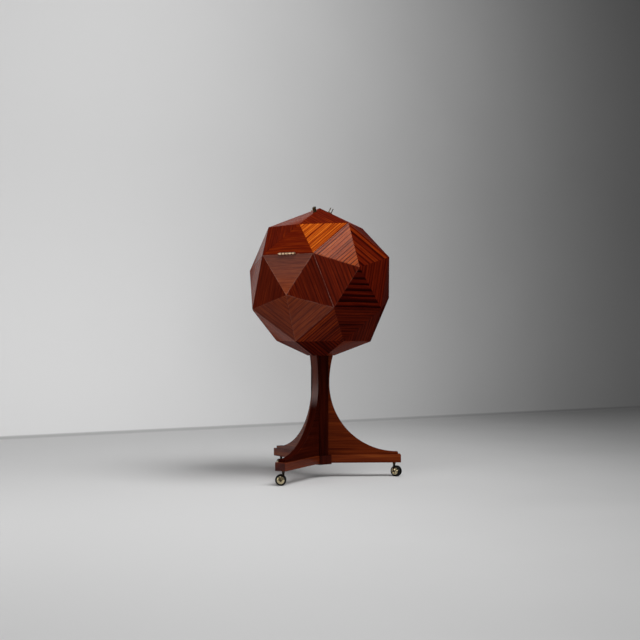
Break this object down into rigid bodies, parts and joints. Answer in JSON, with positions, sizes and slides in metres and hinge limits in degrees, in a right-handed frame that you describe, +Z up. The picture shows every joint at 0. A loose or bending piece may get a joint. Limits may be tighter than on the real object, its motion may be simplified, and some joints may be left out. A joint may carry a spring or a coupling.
{
  "type": "polyhedron bar cabinet",
  "caption": "Bar cabinet shaped as a faceted wooden ball with hinged lids round its top corner, on a six-sided column with curved fins and foot beams on ball casters.",
  "frame": {"origin": "on the floor, under the pedestal's axis", "axes": "+Z up along the pedestal, -Y towards the front leg and lid, +X to the right"},
  "size_m": [0.664, 0.6883, 1.2263],
  "materials": {
    "striped_veneer": "gloss lacquer",
    "mahogany": "gloss lacquer",
    "inner_wood": "satin",
    "brass": "polished, aged",
    "caster_brass": "polished, aged",
    "tyre": "matte",
    "steel": "zinc plated"
  },
  "bodies": {
    "cabinet": {"base_panel_1": "striped_veneer", "base_panel_2": "striped_veneer", "base_panel_3": "striped_veneer", "beam_dowels": "inner_wood", "body_hinge_leaf_1": "brass", "body_hinge_leaf_2": "brass", "body_hinge_leaf_3": "brass", "body_hinge_screws": "brass", "bottle_floor": "inner_wood", "bottom_block": "inner_wood", "caster_sockets": "steel", "column": "mahogany", "column_bolt": "steel", "column_washer": "steel", "fin_1": "mahogany", "fin_2": "mahogany", "fin_3": "mahogany", "fin_dowels": "inner_wood", "floor_cleats": "inner_wood", "foot_beam_1": "mahogany", "foot_beam_2": "mahogany", "foot_beam_3": "mahogany", "hinge_pins": "brass", "hub": "mahogany", "lower_panel_1": "striped_veneer", "lower_panel_2": "striped_veneer", "lower_panel_3": "striped_veneer", "pedestal_screws": "steel", "pedestal_washers": "steel", "upper_panel_1": "striped_veneer", "upper_panel_2": "striped_veneer", "upper_panel_3": "striped_veneer"},
    "lid_body_1": {"handle_screw_1": "brass", "lid_1": "striped_veneer", "lid_handle_1": "brass", "lid_hinge_leaf_1": "brass", "lid_hinge_screws_1": "brass"},
    "caster_1": {"caster_horn_1": "caster_brass"},
    "wheel_1": {"caster_axle_1": "steel", "caster_tyre_1": "tyre", "caster_wheel_1": "caster_brass"},
    "lid_body_2": {"handle_screw_2": "brass", "lid_2": "striped_veneer", "lid_handle_2": "brass", "lid_hinge_leaf_2": "brass", "lid_hinge_screws_2": "brass"},
    "caster_2": {"caster_horn_2": "caster_brass"},
    "wheel_2": {"caster_axle_2": "steel", "caster_tyre_2": "tyre", "caster_wheel_2": "caster_brass"},
    "lid_body_3": {"handle_screw_3": "brass", "lid_3": "striped_veneer", "lid_handle_3": "brass", "lid_hinge_leaf_3": "brass", "lid_hinge_screws_3": "brass"},
    "caster_3": {"caster_horn_3": "caster_brass"},
    "wheel_3": {"caster_axle_3": "steel", "caster_tyre_3": "tyre", "caster_wheel_3": "caster_brass"}
  },
  "joints": [
    {"name": "lid_1_hinge", "type": "hinge", "parent": "cabinet", "child": "lid_body_1", "pos_m": [0, -0.31088, 0.99376], "axis": [1, 0, 0], "range_deg": [0, 213]},
    {"name": "caster_1_swivel", "type": "hinge", "parent": "cabinet", "child": "caster_1", "pos_m": [0, -0.341, 0.05], "axis": [0, 0, 1], "continuous": true},
    {"name": "wheel_1_spin", "type": "hinge", "parent": "caster_1", "child": "wheel_1", "pos_m": [-0.0098, -0.34599, 0.024], "axis": [0.454, -0.891, 0], "continuous": true},
    {"name": "lid_2_hinge", "type": "hinge", "parent": "cabinet", "child": "lid_body_2", "pos_m": [0.26923, 0.15544, 0.99376], "axis": [-0.5, 0.866, 0], "range_deg": [0, 213]},
    {"name": "caster_2_swivel", "type": "hinge", "parent": "cabinet", "child": "caster_2", "pos_m": [0.29531, 0.1705, 0.05], "axis": [0, 0, 1], "continuous": true},
    {"name": "wheel_2_spin", "type": "hinge", "parent": "caster_2", "child": "wheel_2", "pos_m": [0.30621, 0.16897, 0.024], "axis": [0.1392, 0.9903, 0], "continuous": true},
    {"name": "lid_3_hinge", "type": "hinge", "parent": "cabinet", "child": "lid_body_3", "pos_m": [-0.26923, 0.15544, 0.99376], "axis": [-0.5, -0.866, 0], "range_deg": [0, 213]},
    {"name": "caster_3_swivel", "type": "hinge", "parent": "cabinet", "child": "caster_3", "pos_m": [-0.29531, 0.1705, 0.05], "axis": [0, 0, 1], "continuous": true},
    {"name": "wheel_3_spin", "type": "hinge", "parent": "caster_3", "child": "wheel_3", "pos_m": [-0.30374, 0.17757, 0.024], "axis": [-0.6428, -0.766, 0], "continuous": true}
  ]
}
